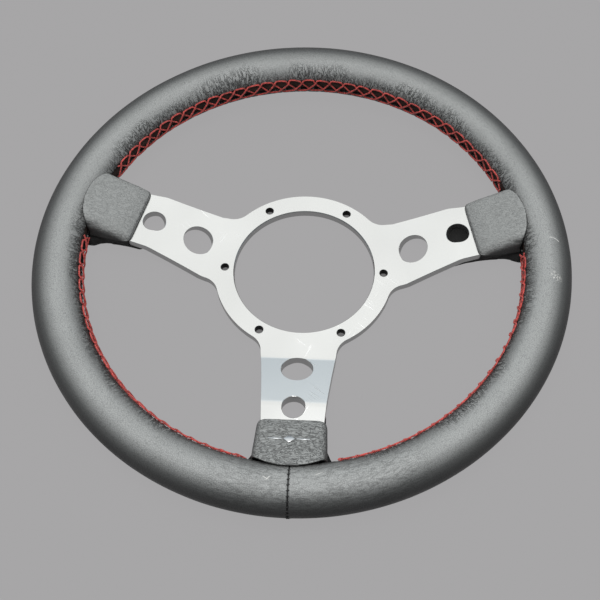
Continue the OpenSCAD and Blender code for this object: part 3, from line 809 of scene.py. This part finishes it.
class WHEEL_OT_covers(bpy.types.Operator):
    """Makes the three moulded covers, with soft edges and creased skins"""
    bl_idname = "wheel.covers"
    bl_label = "Covers"

    def execute(self, context):
        colours = context.scene.wheel_colours
        skins = {name: cover_leather(colours, name, *look) for name, look in COVER_SKINS.items()}
        for spoke, (skin, depth, lean, reach) in COVERS.items():
            name = "cover_" + spoke
            bm = self.one_skin(name)
            # The front's edges are rounder than the rest
            ease(bm, 14, above=FRONT_Z)
            bm.normal_update()
            along, across = outward(SPOKES[spoke]), sideways(SPOKES[spoke])
            lip = min(v.co.dot(along) for v in bm.verts if v.co.z > FRONT_Z)
            for vert in bm.verts:
                p = vert.co * 170
                wave = noise.noise(Vector((p.x * 0.6 + p.y * 0.8, (p.y - p.x) * 1.6, p.z)))
                vert.co = vert.co - vert.normal * depth * (0.5 + 0.5 * wave)
                off, far, high = vert.co.dot(across), vert.co.dot(along), vert.co.z
                # Behind the spoke the walls beside the rim are drawn in
                behind = (part_way(high, METAL_Z, -10 * MM) * part_way(abs(off), 10 * MM, 8 * MM)
                          * part_way(far, TONGUE_S, 8 * MM))
                vert.co -= across * copysign(WALL_IN * behind, off)
                # In front of it the tongue reaches out, and the walls lean in
                lift = part_way(high, METAL_Z, 10 * MM)
                edge = part_way(abs(off), 9 * MM, 12 * MM)
                vert.co += along * (reach * lift * max(0.0, (far - TONGUE_S) / (25 * MM)))
                vert.co -= across * copysign(lean * lift ** 1.3 * edge, off)
                # The face falls off at its sides, and towards the metal the lip thins
                above = part_way(high, METAL_Z + 0.3 * MM, 2 * MM)
                thin = part_way(far, lip + 9 * MM, -9 * MM)
                vert.co.z -= FACE_FALL * lift * edge ** 3 + LIP_THIN * above * thin ** 2
            finish_piece(name + "_skin", to_mesh(bm, name), skins[skin], "cover_moulding", name)
        return {"FINISHED"}

    def one_skin(self, name):
        """A CAD cover as one even skin, its hard corners eased."""
        holder = bpy.data.objects.new(name, to_mesh(merged_copy(name), name))
        remesh = holder.modifiers.new("Skin", "REMESH")
        remesh.mode, remesh.voxel_size, remesh.adaptivity = "VOXEL", 0.5 * MM, 0.0
        bm = made_solid(holder)
        ease(bm, 5)
        return bm


class WHEEL_OT_plate(bpy.types.Operator):
    """Cuts the spoke plate from one sheet, eases its edges and bends its spokes forward"""
    bl_idname = "wheel.plate"
    bl_label = "Spoke plate"

    def execute(self, context):
        sizes, colours = context.scene.wheel_sizes, context.scene.wheel_colours
        bm = bmesh.new()
        for points in [self.outline()] + self.holes():
            ring = [bm.verts.new((x, y, 0)) for x, y in points]
            for i, vert in enumerate(ring):
                bm.edges.new((vert, ring[(i + 1) % len(ring)]))
        bmesh.ops.triangle_fill(bm, use_beauty=True, use_dissolve=False, edges=bm.edges)
        thicken(bm, PLATE_T)
        bmesh.ops.dissolve_limit(bm, angle_limit=radians(0.2), verts=bm.verts, edges=bm.edges,
                                 use_dissolve_boundaries=False)
        for width, chosen in ((HUB_BEVEL, self.near_hub), (HOLE_BEVEL, self.near_hole), (sizes.edge, None)):
            rims = [e for e in bm.edges if len(e.link_faces) == 2
                    and e.calc_face_angle() > radians(80) and e.verts[0].co.z == e.verts[1].co.z
                    and (chosen is None or e.verts[0].co.z > PLATE_T / 2 and chosen(e.verts[0].co))]
            bevel(bm, rims, width, 1)
        for turn in SPOKES.values():
            along = outward(turn)
            for start, end in ((BEND_FROM, BEND_FROM + BEND_RUN), (BEND_TO - BEND_RUN, BEND_TO)):
                for i in range(BEND_CUTS + 1):
                    where = start + (end - start) * i / BEND_CUTS
                    cut(bm, bm.verts[:] + bm.edges[:] + bm.faces[:], along * where, along)
        for vert in bm.verts:
            vert.co = self.bent(vert.co)
        # Its walls painted half as light as shade, and the bolt holes' walls painted black as deep shade
        piece = finish_piece("spoke_plate_metal", to_mesh(bm, "plate"),
                             satin_metal("plate_metal", colours.plate, 0.17, 0.5, bolt_holes),
                             "plate_metal", "spoke_plate")
        piece.data.set_sharp_from_angle(angle=radians(12))
        return {"FINISHED"}

    def outline(self):
        """The plate's outline, round its hub, its fillets and its spokes."""
        fillet_v = ROOT_W + FILLET_R
        fillet_s = sqrt((HUB_R + FILLET_R) ** 2 - fillet_v ** 2)
        touch = atan2(fillet_v, fillet_s)
        side = []
        for i in range(13):
            a = pi - touch + (pi / 2 - pi + touch) * i / 12
            side.append((fillet_s + FILLET_R * cos(a), FILLET_R * sin(a) - fillet_v))
        for i in range(1, 25):
            u = i / 24
            side.append((fillet_s + (PLATE_END - fillet_s) * u, -END_W - (ROOT_W - END_W) * (1 - u) ** 1.7))
        spoke = side + [(s, -v) for s, v in reversed(side)]
        turns = sorted(turn % tau for turn in SPOKES.values())
        points = []
        for turn, following in zip(turns, turns[1:] + [turns[0] + tau]):
            points += turned(spoke, turn)
            first, last = turn + touch, following - touch
            steps = int((last - first) / radians(2))
            for i in range(1, steps):
                a = first + (last - first) * i / steps
                points.append((HUB_R * cos(a), HUB_R * sin(a)))
        return points

    def holes(self):
        """The hub hole, the bolt holes and each spoke's holes. The large one is round on the slope."""
        rings = [self.ring(0, 0, HUB_HOLE_R, 0, 180)]
        rings += [self.ring(BOLT_R, 0, BOLT_HOLE_R, radians(60 * i), 28) for i in range(6)]
        for turn in SPOKES.values():
            rings.append(self.ring(BIG_S, 0, BIG_R, turn, 72, cos(BEND_A)))
            rings.append(self.ring(SMALL_S, 0, SMALL_R, turn, 60))
            rings += [self.ring(RIVET_S, v, RIVET_HOLE_R, turn, 24) for v in (-RIVET_V, RIVET_V)]
        return rings

    def ring(self, s, v, radius, turn, count, squeeze=1.0):
        """A hole's outline, squeezed along its spoke."""
        angles = [tau * i / count for i in range(count)]
        return turned([(s + radius * squeeze * cos(a), v + radius * sin(a)) for a in angles], turn)

    def near_hub(self, point):
        return abs(point.xy.length - HUB_HOLE_R) < 0.5 * MM

    def near_hole(self, point):
        for turn in SPOKES.values():
            along = outward(turn).xy
            for s, r in ((BIG_S, BIG_R), (SMALL_S, SMALL_R)):
                if (point.xy - along * s).length < r + 0.5 * MM:
                    return True
        return False

    def bent(self, point):
        """Where a point of the flat sheet lies once the spokes are bent."""
        for turn in SPOKES.values():
            along = outward(turn)
            s = point.dot(along)
            if s <= BEND_FROM:
                continue
            flat_end = BEND_FROM + BEND_RUN
            slope_end = BEND_TO - BEND_RUN
            if s < flat_end:
                tilt = asin((s - BEND_FROM) / BEND_R)
                rise = BEND_R * (1 - cos(tilt))
            elif s < slope_end:
                tilt = BEND_A
                rise = BEND_R * (1 - cos(tilt)) + (s - flat_end) * tan(tilt)
            else:
                tilt = asin(max(0.0, min(1.0, (BEND_TO - s) / BEND_R)))
                rise = DISH - BEND_R * (1 - cos(tilt))
            off = point.z - PLATE_T / 2
            moved = point - along * (off * sin(tilt))
            moved.z = PLATE_T / 2 + rise + off * cos(tilt)
            return moved
        return point


class WHEEL_OT_inner(bpy.types.Operator):
    """Gives the padding, the hoop, the tabs and the rivets their materials"""
    bl_idname = "wheel.inner"
    bl_label = "Inner parts"

    def execute(self, context):
        colours = context.scene.wheel_colours
        dress("rim_padding", foam(colours))
        steel = satin_metal("frame_steel", (0.42, 0.42, 0.43), 0.4)
        rivet = satin_metal("rivet_metal", (0.70, 0.71, 0.72), 0.32)
        for name in ("rim_hoop", "tab_right", "tab_left", "tab_lower"):
            dress(name, steel)
        for name in frame["nodes"]:
            if name.startswith("rivet_"):
                dress(name, rivet)
        return {"FINISHED"}


class WHEEL_OT_divider(bpy.types.Operator):
    """Sets a thin metal divider, two bars and a diamond, in the lower cover"""
    bl_idname = "wheel.divider"
    bl_label = "Divider"

    def execute(self, context):
        material = satin_metal("divider_metal", (0.80, 0.81, 0.82), 0.3)
        bm = bmesh.new()
        diamond = bmesh.ops.create_circle(bm, cap_ends=True, radius=DIAMOND_R, segments=4)["verts"]
        bmesh.ops.scale(bm, verts=diamond, vec=(DIAMOND_STRETCH, 1.0, 1.0))
        for x in (-BAR_X, BAR_X):
            bar = bmesh.ops.create_grid(bm, x_segments=1, y_segments=1, size=0.5)["verts"]
            bmesh.ops.scale(bm, verts=bar, vec=BAR)
            bmesh.ops.translate(bm, verts=bar, vec=(x, 0, 0))
        thicken(bm, DIVIDER_T)
        bevel(bm, [e for e in bm.edges if all(v.co.z > DIVIDER_T / 2 for v in e.verts)], DIVIDER_BEVEL, 2)
        seat = Matrix.Translation(DIVIDER_SEAT) @ Matrix.Rotation(-DIVIDER_SLOPE, 4, "X")
        bmesh.ops.transform(bm, matrix=seat, verts=bm.verts)
        finish_piece("divider", to_mesh(bm, "divider"), material, "plate_metal")
        return {"FINISHED"}


class WHEEL_OT_stage(bpy.types.Operator):
    """Lays the floor, sets the light and points the camera as in the photograph"""
    bl_idname = "wheel.stage"
    bl_label = "Stage"

    def execute(self, context):
        scene = context.scene
        scene.view_settings.view_transform = "Standard"
        backdrop = tuple(scene.wheel_colours.floor)
        self.floor(scene, backdrop)
        self.world(scene, backdrop)
        self.lamp(scene)
        self.camera(scene)
        return {"FINISHED"}

    def floor(self, scene, backdrop):
        """A floor of the background's own colour, which takes the wheel's shadow."""
        bm = bmesh.new()
        bmesh.ops.create_grid(bm, x_segments=1, y_segments=1, size=6.0)
        bmesh.ops.translate(bm, verts=bm.verts, vec=(0, 0, CAD_BOX[0].z - 0.2 * MM))
        floor = bpy.data.objects.new("floor", to_mesh(bm, "floor"))
        scene.collection.objects.link(floor)
        material, tree, shader, output = new_material("floor")
        plug(tree, shader, {"Base Color": (*shade(backdrop, 0.5), 1.0), "Roughness": 0.9,
                            "Specular IOR Level": 0.0})
        plain = node(tree, "ShaderNodeEmission", {"Color": (*backdrop, 1.0), "Strength": 1.035})
        path = node(tree, "ShaderNodeLightPath").outputs
        seen = maths(tree, "MAXIMUM", path["Is Camera Ray"],
                     maths(tree, "MAXIMUM", path["Is Glossy Ray"], path["Is Transmission Ray"]))
        # Under the hub the floor keeps its full shade, which shows through the bolt holes
        share = times(tree, seen, span(tree, bolt_holes(tree), 0, 1, 0.93, 0.1))
        both = node(tree, "ShaderNodeMixShader", {0: share, 1: shader.outputs[0], 2: plain.outputs[0]})
        plug(tree, output, {"Surface": both.outputs[0]})
        floor.data.materials.append(material)

    def world(self, scene, backdrop):
        """A dim sky with one wide bright panel, behind a plain background."""
        world = bpy.data.worlds.new("room")
        scene.world = world
        world.use_nodes = True
        tree = world.node_tree
        tree.nodes.clear()
        direction = node(tree, "ShaderNodeTexCoord").outputs["Generated"]
        parts = axes(tree, direction)
        aimed = vector_maths(tree, "DOT_PRODUCT", direction, PANEL_AIM)["Value"]
        wide = times(tree, parts["X"], parts["X"], 0.35)
        panel = span(tree, maths(tree, "ADD", aimed, wide), 0.58, 0.92, smooth=True)
        tone = mix_colour(tree, span(tree, parts["Z"], 0.15, 0.7), (0.74, 0.885, 1.0), (0.99, 1.0, 0.985))
        light = node(tree, "ShaderNodeBackground", {"Color": tone,
                                                    "Strength": span(tree, panel, 0, 1, 0.14, 0.95)})
        plain = node(tree, "ShaderNodeBackground", {"Color": (*backdrop, 1.0), "Strength": 1.0})
        seen = node(tree, "ShaderNodeLightPath").outputs["Is Camera Ray"]
        both = node(tree, "ShaderNodeMixShader", {0: seen, 1: light.outputs[0], 2: plain.outputs[0]})
        node(tree, "ShaderNodeOutputWorld", {"Surface": both.outputs[0]})

    def lamp(self, scene):
        data = bpy.data.lights.new("Overhead", "AREA")
        data.energy, data.size = LAMP_POWER, LAMP_SIZE
        lamp = bpy.data.objects.new("Overhead", data)
        lamp.location = LAMP_PLACE
        lamp.rotation_mode = "QUATERNION"
        lamp.rotation_quaternion = (Vector((0, 0, RIM_Z)) - Vector(LAMP_PLACE)).to_track_quat("-Z", "Y")
        scene.collection.objects.link(lamp)

    def camera(self, scene):
        data = bpy.data.cameras.new("Camera")
        data.lens = CAMERA_LENS
        data.shift_x, data.shift_y = CAMERA_SHIFT
        camera = bpy.data.objects.new("Camera", data)
        e, a, r = (radians(v) for v in (CAMERA_ELEVATION, CAMERA_AZIMUTH, CAMERA_ROLL))
        back = Vector((sin(a) * cos(e), -cos(a) * cos(e), sin(e)))
        level = Vector((0, 0, 1)).cross(back).normalized()
        up = back.cross(level)
        right = level * cos(r) + up * sin(r)
        top = up * cos(r) - level * sin(r)
        turn = Matrix((right, top, back)).transposed().to_4x4()
        camera.matrix_world = Matrix.Translation(CAMERA_PLACE) @ turn
        scene.collection.objects.link(camera)
        scene.camera = camera


OPERATORS = (WHEEL_OT_stage, WHEEL_OT_leather, WHEEL_OT_lacing, WHEEL_OT_seam, WHEEL_OT_covers,
             WHEEL_OT_plate, WHEEL_OT_inner, WHEEL_OT_divider)


class WHEEL_PT_panel(bpy.types.Panel):
    """Lists the wheel's sizes, colours and pieces"""
    bl_idname = "WHEEL_PT_panel"
    bl_label = "Steering wheel"
    bl_space_type = "VIEW_3D"
    bl_region_type = "UI"
    bl_category = "Wheel"

    def draw(self, context):
        for group in (context.scene.wheel_sizes, context.scene.wheel_colours):
            box = self.layout.box()
            for key in group.__annotations__:
                box.prop(group, key)
        for operator in OPERATORS:
            self.layout.operator(operator.bl_idname)


CLASSES = (WheelSizes, WheelColours, *OPERATORS, WHEEL_PT_panel)


def register():
    for item in CLASSES:
        bpy.utils.register_class(item)
    bpy.types.Scene.wheel_sizes = PointerProperty(type=WheelSizes)
    bpy.types.Scene.wheel_colours = PointerProperty(type=WheelColours)


def unregister():
    del bpy.types.Scene.wheel_sizes
    del bpy.types.Scene.wheel_colours
    for item in reversed(CLASSES):
        bpy.utils.unregister_class(item)


def main():
    register()
    for operator in OPERATORS:
        group, name = operator.bl_idname.split(".")
        result = getattr(getattr(bpy.ops, group), name)()
        if result != {"FINISHED"}:
            raise RuntimeError(f"{operator.bl_label} did not finish")


if __name__ == "__main__":
    main()
